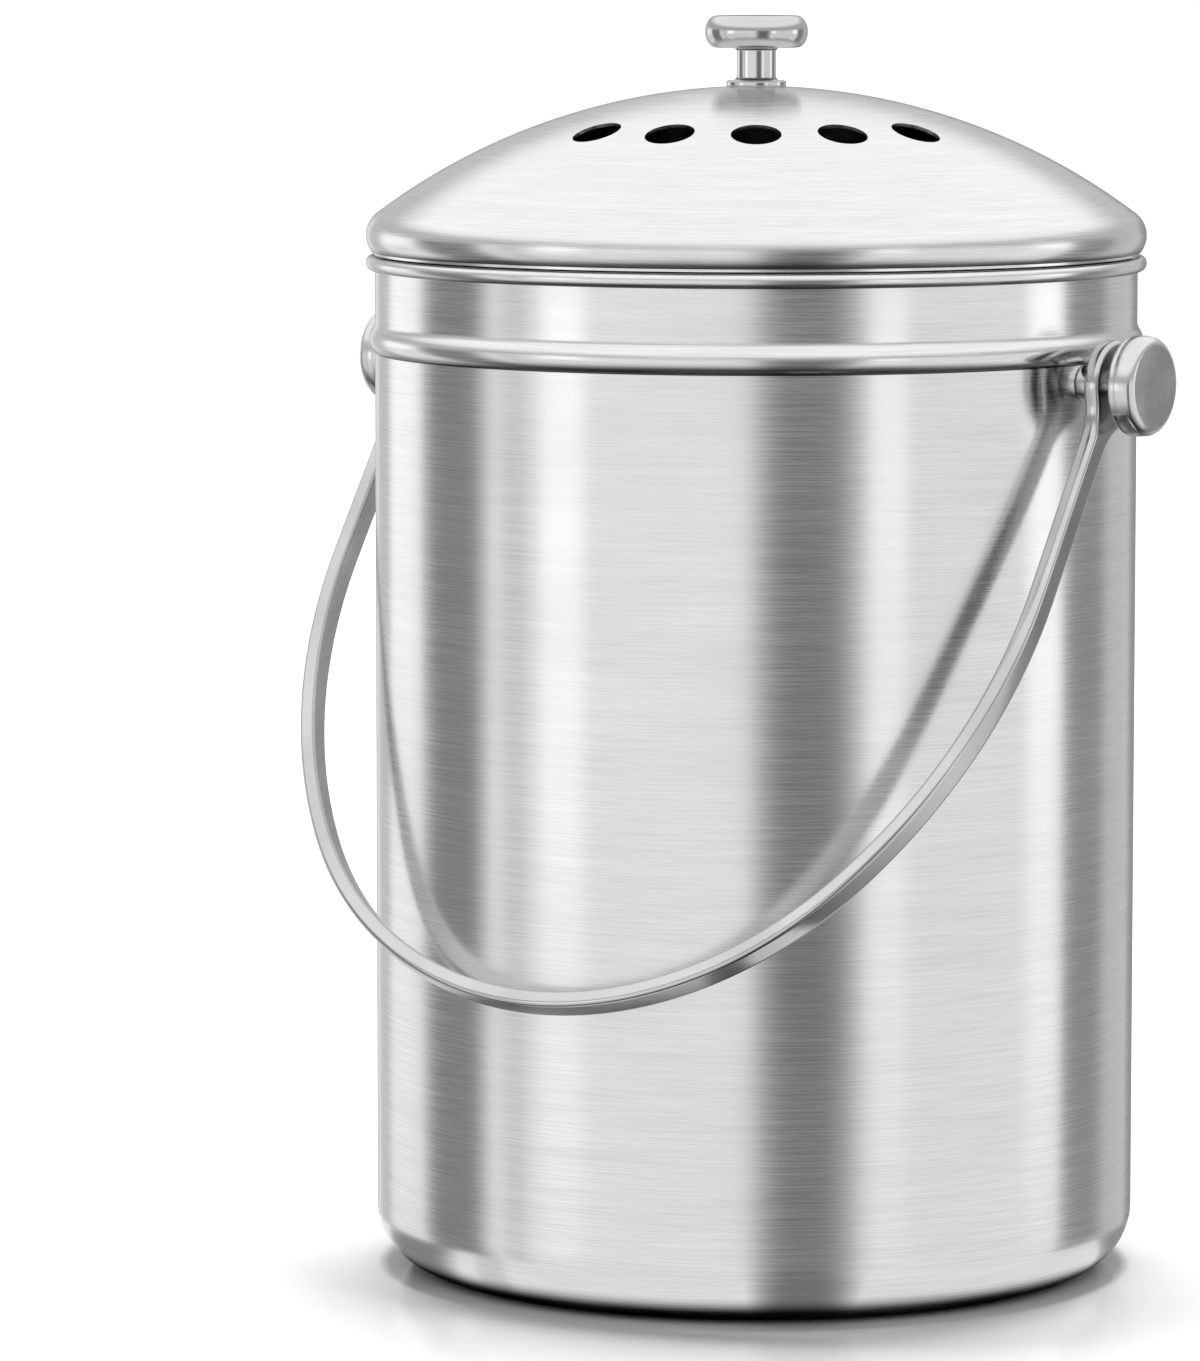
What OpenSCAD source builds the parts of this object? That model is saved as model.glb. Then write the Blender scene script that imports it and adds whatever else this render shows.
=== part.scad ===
// Countertop compost caddy: drawn steel bucket with a rolled rim, a lift-off domed lid that
// holds a charcoal filter in a pan under it, and a flat-bar bail that swings on two studs.
// Millimetres. Z is up, X runs along the bail's pivot axis, the bail hangs towards -Y.
// The origin is the middle of the base, on the surface that it stands on.

/* [Body] */
// Outer diameter of the straight wall
body_d = 170; // [150:1:190]
// Height of the body, to the top of its rolled rim
body_h = 227.1; // [200:0.1:260]
// Thickness of the body's sheet
body_sheet = 0.8; // [0.6:0.1:1.2]
// Outer radius of the drawn corner between base and wall
base_corner_r = 14; // [8:0.5:20]
// Mean radius of the pressed ring that stiffens the base
base_ring_r = 54; // [40:1:60]
// Width of the pressed ring
base_ring_w = 7; // [5:0.5:12]
// Height that the pressed ring is raised
base_ring_rise = 1.2; // [0.8:0.1:2]

/* [Swage and rim] */
// Depth of the swaged bead's middle below the top of the rim
swage_drop = 18.5; // [14:0.1:24]
// How far the swaged bead stands out of the wall
swage_out = 1.3; // [0.8:0.1:2]
// Radius of the swaged bead's crown
swage_r = 3.6; // [3:0.1:5]
// Radius that blends the bead softly into the wall above it
swage_blend_top = 3; // [1.5:0.1:4]
// Radius that turns the bead sharply back to the wall below it
swage_blend_bottom = 0.8; // [0.6:0.1:1.5]
// Radial half width of the hollow inside the roll
roll_hollow_w = 0.6; // [0.5:0.1:1]
// Half height of the hollow inside the roll
roll_hollow_h = 0.8; // [0.7:0.05:1.5]
// Angle at which the rolled edge ends, below the outside of the roll
roll_end_angle = -100; // [-104:1:-60]

/* [Lid] */
// Height of the dome's crown above the top of the rim
dome_rise = 37.5; // [28:0.1:44]
// Radius of the flat on the crown, where the knob stands
dome_flat_r = 7.5; // [7:0.1:10]
// How far the dome's rounded lip stands out past the body's wall
lid_overhang = 1.95; // [1.5:0.05:4]
// Radius of the rounded lip
lip_r = 6; // [5:0.1:8]
// Height of the middle of the lip's rounding above the hem
lip_lift = 3.6; // [1.5:0.1:4]
// Width of the lip's turned-in hem
hem_w = 1.6; // [1:0.1:3]
// Thickness of the lid's sheet
lid_sheet = 0.7; // [0.5:0.1:1]
// Diameter of a vent hole
vent_d = 11; // [6:0.5:14]
// Distance of the vent holes from the axis
vent_circle_r = 50; // [44:1:56]
// Angle between neighbouring vent holes
vent_step = 22; // [18:1:24]
// Number of vent holes, side by side over the front of the lid
vent_count = 5; // [3:1:7]
// How far the lid is turned from the front as it sits on the body
lid_turn = 33; // [0:1:45]

/* [Pan and filter] */
// Gap between the lid's flange and the top of the rim
lid_seat_gap = 0.3; // [0.2:0.05:0.5]
// Thickness of the pan's sheet
pan_sheet = 0.6; // [0.5:0.1:0.8]
// How far the pan's flat flange stops short of the lip's outside
flange_inset = 1.2; // [1.2:0.05:1.5]
// Radial room between the pan's collar and the inside of the body
collar_gap = 4.2; // [2:0.1:6]
// Depth of the collar below the flange's underside
collar_depth = 20.8; // [14:0.1:24]
// Outer radius of the bend between flange and collar
collar_root_r = 1.4; // [1:0.1:2]
// Outer radius of the bend between collar and face ring
collar_edge_r = 1.6; // [1:0.1:3]
// Width of the face ring round the window
face_ring_w = 25.3; // [16:0.1:35]
// Height of the window's turned-up edge above the face ring's underside
window_edge_h = 3.6; // [2.5:0.1:5]
// Radius of the bend at the window's edge
window_edge_r = 1.2; // [0.8:0.1:2]
// Thickness of the filter disc
filter_t = 8; // [5:0.5:12]
// Radial gap between the filter and the inside of the collar
filter_gap = 1.4; // [0.5:0.1:3]
// Radius that rounds the filter's edges
filter_edge_r = 1.5; // [0.5:0.1:2]

/* [Lid knob] */
// Diameter of the knob's head
knob_d = 22.9; // [18:0.1:30]
// Thickness of the knob's head
knob_head_h = 7.1; // [5:0.1:9]
// Radial depth of the head's rounded edge
knob_edge_w = 2.5; // [1.5:0.1:3.5]
// Diameter of the stem at its waist
stem_d = 8.7; // [7:0.1:10]
// Height of the stem from base plate to head
stem_h = 7.3; // [5:0.1:12]
// Radius of the flare at each end of the stem
stem_flare = 1.1; // [0.6:0.1:1.4]
// Diameter of the base plate
knob_base_d = 13.3; // [12.5:0.1:14]
// Thickness of the base plate
knob_base_h = 1.4; // [0.8:0.1:2.5]

/* [Bail] */
// Depth of the pivot axis below the top of the rim
pivot_drop = 25.7; // [25.7:0.1:40]
// Thickness of the flat bar, in the plane of the bail
bar_t = 3.8; // [3:0.1:4.5]
// Width of the flat bar, square to the plane of the bail
bar_w = 6; // [5:0.1:8]
// Radius of the bar's rounded corners
bar_corner_r = 1.2; // [0.6:0.1:1.4]
// Distance from the pivot axis to the middle of the bar at the bottom of the bow
bail_drop = 158.6; // [150:0.1:164]
// How much the radius of the bow's lower arc falls short of the arms' distance from the middle
bow_inset = 7; // [4:0.1:9]
// Gap between the hanging bow and the wall
bail_rest_gap = 0.4; // [0.3:0.1:1]
// Outer diameter of an eye
eye_d = 19.4; // [17:0.1:22]
// Radius of the hollow that necks each eye into the bar
neck_r = 12; // [8:0.5:16]

/* [Pivots] */
// Distance that a bush holds the eye off the wall
bush_standoff = 4.8; // [4:0.1:7]
// Diameter of the bush's shoulder
bush_d = 8; // [7.5:0.1:9]
// Diameter of the bush's journal, which carries the eye
journal_d = 6; // [5.6:0.1:6.4]
// Radial running clearance of the eye on its journal
journal_clearance = 0.05; // [0.02:0.01:0.1]
// Side clearance between the eye and the bush's shoulder
eye_side_gap = 0.3; // [0.2:0.05:0.5]
// Gap between the eye's outer face and the button
button_gap = 2.8; // [1:0.1:3.5]
// Diameter of a button knob
button_d = 21.9; // [18:0.1:26]
// Thickness of a button knob
button_h = 6.1; // [5.6:0.1:8]
// Radius of the rounded bevel round the button's outer face
button_bevel = 2.3; // [1:0.1:3]
// Radius that rounds the button's inner face
button_back_r = 1.15; // [0.5:0.05:1.5]

/* [Fasteners] */
// Diameter of every screw's shank
screw_d = 4; // [3:0.1:4.4]
// Diameter of a pan head
head_d = 8; // [7:0.1:9]
// Height of a pan head
head_h = 2.4; // [2:0.1:3]
// Width of the cross slots in a pan head
slot_w = 1.2; // [0.8:0.1:1.6]
// Length of the cross slots
slot_l = 4.4; // [3:0.1:6]
// Depth of the cross slots
slot_depth = 1.4; // [0.8:0.1:1.6]
// Radial clearance of a screw in its hole
screw_clearance = 0.15; // [0.1:0.05:0.3]
// Radial clearance of a screw in its threaded seat
thread_clearance = 0.05; // [0.02:0.01:0.1]
// How far each screw reaches into its button or stem
screw_reach = 4.5; // [3.5:0.1:5]
// Outer diameter of every washer
washer_d = 12; // [10:0.5:14]
// Thickness of the rubber seal washers
seal_t = 1.2; // [1:0.1:2]
// Thickness of the steel washer under the dome
knob_washer_t = 1; // [0.6:0.1:1.5]

/* [Hidden] */
$fn = 96;

body_r = body_d / 2;
body_inner_r = body_r - body_sheet;
rim_z = body_h - body_sheet - roll_hollow_h;
swage_z = body_h - swage_drop;
pivot_z = body_h - pivot_drop;

flange_z = body_h + lid_seat_gap;
hem_z = flange_z + pan_sheet;
lip_x = body_r + lid_overhang - lip_r;
lip_z = hem_z + lip_lift;
// The dome's ball touches the crown's height and runs tangent into the lip
crown_h = body_h + dome_rise - lip_z;
dome_r = (pow(lip_x, 2) + pow(crown_h, 2) - pow(lip_r, 2)) / (2 * (crown_h - lip_r));
ball_z = body_h + dome_rise - dome_r;
dome_top_z = ball_z + sqrt(pow(dome_r, 2) - pow(dome_flat_r, 2));
lip_start = atan2(lip_z - ball_z, lip_x);
lip_end = -asin(lip_lift / lip_r);
dome_under_z = dome_top_z - lid_sheet;
vent_tilt = asin(vent_circle_r / dome_r);

flange_r = body_r + lid_overhang - flange_inset;
collar_r = body_inner_r - collar_gap;
window_r = collar_r - face_ring_w;
face_z = flange_z - collar_depth;
filter_z = face_z + window_edge_h;
filter_r = collar_r - pan_sheet - filter_gap;

knob_base_z = dome_top_z;
stem_z = knob_base_z + knob_base_h;
knob_head_z = stem_z + stem_h;

shoulder_x = body_r + bush_standoff;
arm_x = shoulder_x + eye_side_gap + bar_t / 2;
button_x = arm_x + bar_t / 2 + button_gap;
hang_angle = asin((body_r + bar_w / 2 + bail_rest_gap) / bail_drop);
// The centre of each side arc lies four insets across and three up from the bow's centre
bow_r = arm_x - bow_inset;
side_r = bow_r + 5 * bow_inset;
side_angle = atan2(3, 4);
arm_drop = bail_drop - bow_r - 3 * bow_inset;
neck_drop = sqrt(pow(eye_d / 2 + neck_r, 2) - pow(bar_w / 2 + neck_r, 2));
neck_half_w = eye_d / 2 * (bar_w / 2 + neck_r) / (eye_d / 2 + neck_r);

seal_face_x = sqrt(pow(body_inner_r, 2) - pow(washer_d / 2, 2)) - seal_t;
cut = 1;

// Points along an upright ellipse of centre c, half width w and half height h, from angle a to
// angle b. An arc that follows straight on from another leaves its first point out.
function oval(c, w, h, a, b, steps = 10, first = 0) =
    [for (i = [first:steps]) let (t = a + (b - a) * i / steps) c + [w * cos(t), h * sin(t)]];

// Points along a round arc of radius r
function arc(c, r, a, b, steps = 10, first = 0) = oval(c, r, r, a, b, steps, first);

// Unit vector to the right of a path at its point i
function right_of(path, i) =
    let (d = path[min(i + 1, len(path) - 1)] - path[max(i - 1, 0)]) [d[1], -d[0]] / norm(d);

// Outline of a sheet whose one face follows the path and which lies t to the right of it
function sheet(path, t) =
    concat(path, [for (i = [len(path) - 1:-1:0]) path[i] + t * right_of(path, i)]);

// Height from the swage's middle to where a blend of radius b leaves the wall
function blend_rise(b) =
    sqrt(pow(swage_r + b, 2) - pow(b + swage_r - swage_out, 2));

// Angle at which a blend of radius b meets the swage's crown
function blend_angle(b) = asin(blend_rise(b) / (swage_r + b));

// Outer face of the body, from the middle of the base to the end of the rolled rim
function body_path() =
    let (
        ring_in = base_ring_r - base_ring_w / 2,
        ring_out = base_ring_r + base_ring_w / 2,
        crown = [body_r + swage_out - swage_r, swage_z],
        low = swage_blend_bottom,
        high = swage_blend_top
    )
    concat(
        [
            [0, 0],
            [ring_in, 0],
            [ring_in + base_ring_rise, base_ring_rise],
            [ring_out - base_ring_rise, base_ring_rise],
            [ring_out, 0]
        ],
        arc([body_r - base_corner_r, base_corner_r], base_corner_r, -90, 0, 16),
        arc([body_r + low, swage_z - blend_rise(low)], low, 180, 180 - blend_angle(low), 4),
        arc(crown, swage_r, -blend_angle(low), blend_angle(high), 14, 1),
        arc([body_r + high, swage_z + blend_rise(high)], high, 180 + blend_angle(high), 180, 6, 1),
        oval([body_r + roll_hollow_w, rim_z], roll_hollow_w, roll_hollow_h, 180, roll_end_angle, 24)
    );

// Outer face of the dome, from its flat top over the lip to the end of the hem
function dome_path() =
    concat(
        [[0, dome_top_z]],
        arc([0, ball_z], dome_r, acos(dome_flat_r / dome_r), lip_start, 24),
        arc([lip_x, lip_z], lip_r, lip_start, lip_end, 12, 1),
        [[lip_x + lip_r * cos(lip_end) - hem_w, hem_z]]
    );

// Lower face of the pan, from the flange's edge to the top of the window's edge
function pan_path() =
    concat(
        [[flange_r, flange_z]],
        arc([collar_r + collar_root_r, flange_z - collar_root_r], collar_root_r, 90, 180, 6),
        arc([collar_r - collar_edge_r, face_z + collar_edge_r], collar_edge_r, 0, -90, 6),
        arc([window_r + window_edge_r, face_z + window_edge_r], window_edge_r, 270, 180, 6),
        [[window_r, filter_z]]
    );

// Turned parts are drawn along Z and laid along X, their foot at the given distance
module along_x(x) {
    translate([x, 0, pivot_z]) rotate([0, 90, 0]) children();
}

// Pan-head screw with its head below z = 0 and its shank above
module pan_head_screw(length) {
    edge_h = head_h * 0.7;
    difference() {
        union() {
            rotate_extrude()
                polygon(concat(
                    [[0, 0], [head_d / 2, 0]],
                    oval([0, edge_h - head_h], head_d / 2, edge_h, 0, -90, 8)
                ));
            cylinder(d = screw_d, h = length);
        }
        for (turn = [0, 90])
            rotate([0, 0, turn])
                translate([-slot_l / 2, -slot_w / 2, -head_h - cut])
                    cube([slot_l, slot_w, cut + slot_depth]);
    }
}

module body_shell() {
    color("silver")
        difference() {
            rotate_extrude() polygon(sheet(body_path(), -body_sheet));
            translate([-body_r - cut, 0, pivot_z])
                rotate([0, 90, 0])
                    cylinder(r = screw_d / 2 + screw_clearance, h = body_d + 2 * cut);
        }
}

module pivot_bush() {
    journal_h = button_x - shoulder_x;
    color("gainsboro")
        along_x(body_r)
            difference() {
                union() {
                    cylinder(d = bush_d, h = bush_standoff);
                    translate([0, 0, bush_standoff]) cylinder(d = journal_d, h = journal_h);
                }
                translate([0, 0, -cut])
                    cylinder(r = screw_d / 2 + screw_clearance, h = bush_standoff + journal_h + 2 * cut);
            }
}

module pivot_knob() {
    back_x = button_d / 2 - button_back_r;
    face_x = button_d / 2 - button_bevel;
    color("lightgray")
        along_x(button_x)
            difference() {
                rotate_extrude()
                    polygon(concat(
                        [[0, 0]],
                        arc([back_x, button_back_r], button_back_r, -90, 0, 6),
                        arc([face_x, button_h - button_bevel], button_bevel, 0, 90, 10),
                        [[0, button_h]]
                    ));
                translate([0, 0, -cut])
                    cylinder(r = screw_d / 2 + thread_clearance, h = cut + screw_reach + thread_clearance);
            }
}

module pivot_screw() {
    color("darkgray")
        along_x(seal_face_x)
            pan_head_screw(button_x + screw_reach - seal_face_x);
}

module seal_washer() {
    color("dimgray")
        intersection() {
            along_x(seal_face_x)
                difference() {
                    cylinder(d = washer_d, h = 3 * seal_t);
                    translate([0, 0, -cut])
                        cylinder(r = screw_d / 2 + thread_clearance, h = 3 * seal_t + 2 * cut);
                }
            cylinder(r = body_inner_r - thread_clearance, h = pivot_z + washer_d, $fn = 360);
        }
}

// Section of the bail's flat bar, its middle at the given distance from the axis
module bar_section(x) {
    corner_x = bar_t / 2 - bar_corner_r;
    corner_y = bar_w / 2 - bar_corner_r;
    translate([x, 0]) {
        square([2 * corner_x, bar_w], center = true);
        square([bar_t, 2 * corner_y], center = true);
        for (side = [-1, 1], end = [-1, 1])
            translate([side * corner_x, end * corner_y]) circle(r = bar_corner_r);
    }
}

// Arc of the bail in its upright plane, about the point [x, z], from angle a on through sweep
module bar_arc(x, z, r, a, sweep) {
    translate([x, 0, z])
        rotate([90, 0, 0])
            rotate([0, 0, a])
                rotate_extrude(angle = sweep) bar_section(r);
}

// One arm with its eye, on the +X side, hanging straight down from the pivot axis
module bail_arm() {
    translate([0, 0, -arm_drop]) linear_extrude(arm_drop - eye_d / 4) bar_section(arm_x);
    translate([arm_x - bar_t / 2, 0, 0])
        rotate([0, 90, 0]) {
            rotate_extrude()
                polygon(concat(
                    [[0, 0]],
                    arc([eye_d / 2 - bar_corner_r, bar_corner_r], bar_corner_r, -90, 0, 6),
                    arc([eye_d / 2 - bar_corner_r, bar_t - bar_corner_r], bar_corner_r, 0, 90, 6),
                    [[0, bar_t]]
                ));
            linear_extrude(bar_t)
                difference() {
                    translate([0, -neck_half_w]) square([neck_drop, 2 * neck_half_w]);
                    for (side = [-1, 1])
                        translate([neck_drop, side * (bar_w / 2 + neck_r)]) circle(r = neck_r);
                }
        }
}

module bail() {
    color("gainsboro")
        translate([0, 0, pivot_z])
            rotate([-hang_angle, 0, 0])
                difference() {
                    union() {
                        for (side = [0, 1])
                            mirror([side, 0, 0]) {
                                bail_arm();
                                bar_arc(arm_x - side_r, -arm_drop, side_r, 0, -side_angle);
                                bar_arc(0, bow_r - bail_drop, bow_r, -90, 90 - side_angle);
                            }
                    }
                    translate([-arm_x - bar_t, 0, 0])
                        rotate([0, 90, 0])
                            cylinder(r = journal_d / 2 + journal_clearance, h = 2 * (arm_x + bar_t));
                }
}

module lid_dome() {
    color("silver")
        difference() {
            rotate_extrude() polygon(sheet(dome_path(), lid_sheet));
            for (i = [0:vent_count - 1])
                rotate([0, 0, lid_turn - 90 + vent_step * (i - (vent_count - 1) / 2)])
                    translate([0, 0, ball_z])
                        rotate([0, vent_tilt, 0])
                            translate([0, 0, dome_r - 3 * lid_sheet])
                                cylinder(d = vent_d, h = 6 * lid_sheet);
            translate([0, 0, dome_under_z - cut])
                cylinder(r = screw_d / 2 + screw_clearance, h = lid_sheet + 2 * cut);
        }
}

module lid_pan() {
    color("gainsboro")
        rotate_extrude() polygon(sheet(pan_path(), pan_sheet));
}

module charcoal_filter() {
    color([0.12, 0.12, 0.12])
        rotate_extrude()
            polygon(concat(
                [[0, filter_z]],
                arc([filter_r - filter_edge_r, filter_z + filter_edge_r], filter_edge_r, -90, 0, 6),
                arc([filter_r - filter_edge_r, filter_z + filter_t - filter_edge_r], filter_edge_r, 0, 90, 6),
                [[0, filter_z + filter_t]]
            ));
}

module lid_knob() {
    stem_r = stem_d / 2;
    edge_h = knob_head_h / 2;
    color("whitesmoke")
        difference() {
            rotate_extrude()
                polygon(concat(
                    [[0, stem_z]],
                    arc([stem_r + stem_flare, stem_z + stem_flare], stem_flare, 270, 180, 6),
                    arc([stem_r + stem_flare, knob_head_z - stem_flare], stem_flare, 180, 90, 6),
                    oval([knob_d / 2 - knob_edge_w, knob_head_z + edge_h], knob_edge_w, edge_h, -90, 90, 18),
                    [[0, knob_head_z + knob_head_h]]
                ));
            translate([0, 0, stem_z - cut])
                cylinder(r = screw_d / 2 + thread_clearance, h = cut + screw_reach + thread_clearance);
        }
}

module knob_base() {
    color("whitesmoke")
        translate([0, 0, knob_base_z])
            difference() {
                cylinder(d = knob_base_d, h = knob_base_h);
                translate([0, 0, -cut])
                    cylinder(r = screw_d / 2 + screw_clearance, h = knob_base_h + 2 * cut);
            }
}

module knob_washer() {
    color("darkgray")
        translate([0, 0, dome_under_z - knob_washer_t])
            difference() {
                cylinder(d = washer_d, h = knob_washer_t);
                translate([0, 0, -cut])
                    cylinder(r = screw_d / 2 + screw_clearance, h = knob_washer_t + 2 * cut);
            }
}

module knob_screw() {
    color("darkgray")
        translate([0, 0, dome_under_z - knob_washer_t])
            pan_head_screw(stem_z + screw_reach - dome_under_z + knob_washer_t);
}

body_shell();
mirror([1, 0, 0]) pivot_bush();  // left_pivot_bush
pivot_bush();  // right_pivot_bush
mirror([1, 0, 0]) pivot_knob();  // left_pivot_knob
pivot_knob();  // right_pivot_knob
mirror([1, 0, 0]) pivot_screw();  // left_pivot_screw
pivot_screw();  // right_pivot_screw
mirror([1, 0, 0]) seal_washer();  // left_seal_washer
seal_washer();  // right_seal_washer
bail();
lid_dome();
lid_pan();
charcoal_filter();
lid_knob();
knob_base();
knob_washer();
knob_screw();
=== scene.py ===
import math

import bmesh
import bpy
from mathutils import Matrix, Vector, noise


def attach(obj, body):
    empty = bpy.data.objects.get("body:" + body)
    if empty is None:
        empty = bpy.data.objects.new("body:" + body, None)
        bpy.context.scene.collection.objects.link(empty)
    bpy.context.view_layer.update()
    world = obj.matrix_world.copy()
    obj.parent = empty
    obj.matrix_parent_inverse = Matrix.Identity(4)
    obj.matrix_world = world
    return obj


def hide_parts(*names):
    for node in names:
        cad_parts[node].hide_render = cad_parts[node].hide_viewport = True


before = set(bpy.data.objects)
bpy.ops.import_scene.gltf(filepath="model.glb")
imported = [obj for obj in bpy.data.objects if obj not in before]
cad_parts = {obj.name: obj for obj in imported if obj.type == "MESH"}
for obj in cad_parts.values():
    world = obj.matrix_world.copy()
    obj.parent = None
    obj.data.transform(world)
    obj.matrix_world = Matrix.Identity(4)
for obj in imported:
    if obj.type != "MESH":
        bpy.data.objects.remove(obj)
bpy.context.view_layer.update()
mm = 0.001
scene = bpy.context.scene
spinSteps = 240  # segments of every large round piece
smallSteps = 128  # and of the knob and the buttons
weld = 0.002 * mm  # points closer than this are one
print("frame loaded:", len(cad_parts), "nodes")


# Mesh tools

def pick(items, kind):
    # the vertices or edges among what an operator gives back
    return [item for item in items if isinstance(item, kind)]


def startLine(bm, r, z):
    return bmesh.ops.create_vert(bm, co=(r * mm, 0, z * mm))["vert"][0]


def lineTo(bm, last, r, z):
    tip = bmesh.ops.extrude_vert_indiv(bm, verts=[last])["verts"][0]
    tip.co = (r * mm, 0, z * mm)
    return tip


def arcTo(bm, last, r, z, turn, steps, squeeze=1.0):
    # swings the line's end about (r, z) by turn degrees; squeeze narrows the arc towards that centre
    before = set(bm.verts)
    centre = Vector((r * mm, 0, z * mm))
    last.co.x = centre.x + (last.co.x - centre.x) / squeeze
    made = bmesh.ops.spin(bm, geom=[last], cent=centre, axis=(0, -1, 0),
                          angle=math.radians(turn), steps=steps)
    tip = pick(made["geom_last"], bmesh.types.BMVert)[0]
    for v in [v for v in bm.verts if v not in before] + [last]:
        v.co.x = centre.x + (v.co.x - centre.x) * squeeze
    return tip


def spinRound(bm, steps=spinSteps):
    bmesh.ops.spin(bm, geom=bm.verts[:] + bm.edges[:], cent=(0, 0, 0), axis=(0, 0, 1),
                   angle=math.tau, steps=steps, use_merge=True)
    bmesh.ops.remove_doubles(bm, verts=bm.verts[:], dist=weld)
    bmesh.ops.recalc_face_normals(bm, faces=bm.faces[:])


def punchHole(bm, centre, axis, radius, reach):
    # swaps a square patch of a thin skin, of this half side, for a ring of faces round a true circle
    axis = Vector(axis).normalized()
    turn = axis.to_track_quat("Z", "Y").to_matrix()
    flat = turn.inverted()
    patch = []
    for f in bm.faces:
        away = flat @ (f.calc_center_median() - Vector(centre))
        if abs(away.x) < reach and abs(away.y) < reach and abs(away.z) < reach:
            patch.append(f)
    inside = {e for f in patch for e in f.edges}
    rim = [e for e in inside if any(f not in patch for f in e.link_faces)]
    bmesh.ops.delete(bm, geom=patch, context="FACES")
    rim = [e for e in rim if e.is_valid]
    placed = Matrix.Translation(Vector(centre)) @ turn.to_4x4()
    circle = bmesh.ops.create_circle(bm, segments=len(rim), radius=radius, matrix=placed)["verts"]
    ring = list({e for v in circle for e in v.link_edges})
    bmesh.ops.bridge_loops(bm, edges=rim + ring)


def thicken(bm, thickness, topSide=False):
    # gives a skin its sheet thickness on the far side of the face it shows, its lowest one or its top one
    bmesh.ops.recalc_face_normals(bm, faces=bm.faces[:])
    side = 1 if topSide else -1
    shown = max(bm.faces, key=lambda f: side * f.calc_center_median().z)
    if shown.normal.z * side < 0:
        bmesh.ops.reverse_faces(bm, faces=bm.faces[:])
    mesh = bpy.data.meshes.new("skin")
    bm.to_mesh(mesh)
    skin = bpy.data.objects.new("skin", mesh)
    scene.collection.objects.link(skin)
    wall = skin.modifiers.new("wall", "SOLIDIFY")
    wall.thickness = thickness * mm
    wall.offset = -1
    wall.use_quality_normals = True
    thick = skin.evaluated_get(bpy.context.evaluated_depsgraph_get())
    bm.clear()
    bm.from_mesh(thick.to_mesh())
    thick.to_mesh_clear()
    bpy.data.objects.remove(skin)
    bpy.data.meshes.remove(mesh)


def layAlongX(bm, x, z, side):
    # turns a piece that was made upright so that its top points away from the body
    laid = Matrix.Rotation(math.radians(90 * side), 3, "Y")
    bmesh.ops.rotate(bm, cent=(0, 0, 0), matrix=laid, verts=bm.verts[:])
    bmesh.ops.translate(bm, vec=(side * x * mm, 0, z * mm), verts=bm.verts[:])


def finishPiece(bm, name, body, material, nodes, sharp=38):
    # sharp is the angle in degrees above which an edge stays crisp
    mesh = bpy.data.meshes.new(name)
    bmesh.ops.recalc_face_normals(bm, faces=bm.faces[:])
    bm.to_mesh(mesh)
    bm.free()
    for face in mesh.polygons:
        face.use_smooth = True
    mesh.set_sharp_from_angle(angle=math.radians(sharp))
    piece = bpy.data.objects.new(name, mesh)
    scene.collection.objects.link(piece)
    mesh.materials.append(material)
    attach(piece, body)
    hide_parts(*nodes)
    return piece


# Material tools

def addNode(tree, kind, **values):
    node = tree.nodes.new(kind)
    for key, value in values.items():
        if key in node.inputs:
            node.inputs[key].default_value = value
        else:
            setattr(node, key, value)
    return node


def newGroup(name, inputs, outputs):
    tree = bpy.data.node_groups.new(name, "ShaderNodeTree")
    for label, kind, value in inputs:
        socket = tree.interface.new_socket(label, in_out="INPUT", socket_type=kind)
        if value is not None:
            socket.default_value = value
    for label, kind in outputs:
        tree.interface.new_socket(label, in_out="OUTPUT", socket_type=kind)
    return tree, tree.nodes.new("NodeGroupInput"), tree.nodes.new("NodeGroupOutput")


def feed(tree, value, socket):
    # a number is set on the socket and an output is linked to it
    if isinstance(value, (int, float)):
        socket.default_value = value
    else:
        tree.links.new(value, socket)


def mathNode(tree, operation, *values):
    node = addNode(tree, "ShaderNodeMath", operation=operation)
    for value, socket in zip(values, node.inputs):
        feed(tree, value, socket)
    return node.outputs[0]


def noiseNode(tree, vector, scale, detail=2.0, roughness=0.5):
    node = addNode(tree, "ShaderNodeTexNoise", Scale=scale, Detail=detail, Roughness=roughness)
    tree.links.new(vector, node.inputs["Vector"])
    return node.outputs[0]


def rangeNode(tree, value, low, high, toLow=0.0, toHigh=1.0):
    node = addNode(tree, "ShaderNodeMapRange", interpolation_type="SMOOTHSTEP")
    tree.links.new(value, node.inputs["Value"])
    for label, amount in (("From Min", low), ("From Max", high), ("To Min", toLow), ("To Max", toHigh)):
        node.inputs[label].default_value = amount
    return node.outputs[0]


def vectorNode(tree, operation, first, second=None):
    node = addNode(tree, "ShaderNodeVectorMath", operation=operation)
    tree.links.new(first, node.inputs[0])
    if second is not None:
        node.inputs[1].default_value = second
    return node


def blendValues(tree, factor, first, second):
    # first where the factor is 0 and second where it is 1, each a number or a socket
    node = addNode(tree, "ShaderNodeMix", data_type="FLOAT")
    for i, value in ((0, factor), (2, first), (3, second)):
        feed(tree, value, node.inputs[i])
    return node.outputs[0]


def splitVector(tree, vector):
    parts = addNode(tree, "ShaderNodeSeparateXYZ")
    tree.links.new(vector, parts.inputs[0])
    return parts.outputs


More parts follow.
